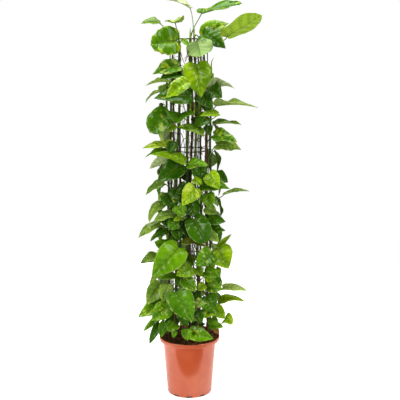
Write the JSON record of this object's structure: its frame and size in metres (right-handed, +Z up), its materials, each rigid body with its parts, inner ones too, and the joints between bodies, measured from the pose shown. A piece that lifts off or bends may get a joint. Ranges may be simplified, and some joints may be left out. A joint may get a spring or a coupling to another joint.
{
  "type": "potted golden pothos on a wire column",
  "caption": "Tall golden pothos trained up a slim wire column: leafy vines with heart-shaped, yellow-marked leaves, rooted in soil in a tapered terracotta-coloured plastic pot.",
  "frame": {"origin": "centre of the pot's resting face, on the surface that the pot stands on", "axes": "+Z up along the pot's axis and the column, -Y towards the front of the plant, +X to the viewer's right"},
  "size_m": [0.4656, 0.4745, 1.5404],
  "materials": {
    "pot_plastic": "satin",
    "potting_soil": "matte",
    "coated_wire": "satin",
    "pothos_foliage": "satin"
  },
  "bodies": {
    "root": {"pot": "pot_plastic", "soil": "potting_soil", "support_column": "coated_wire", "vine_01": "pothos_foliage", "vine_02": "pothos_foliage", "vine_03": "pothos_foliage", "vine_04": "pothos_foliage", "vine_05": "pothos_foliage", "vine_06": "pothos_foliage", "vine_07": "pothos_foliage", "vine_08": "pothos_foliage", "vine_09": "pothos_foliage", "vine_10": "pothos_foliage"}
  },
  "joints": []
}
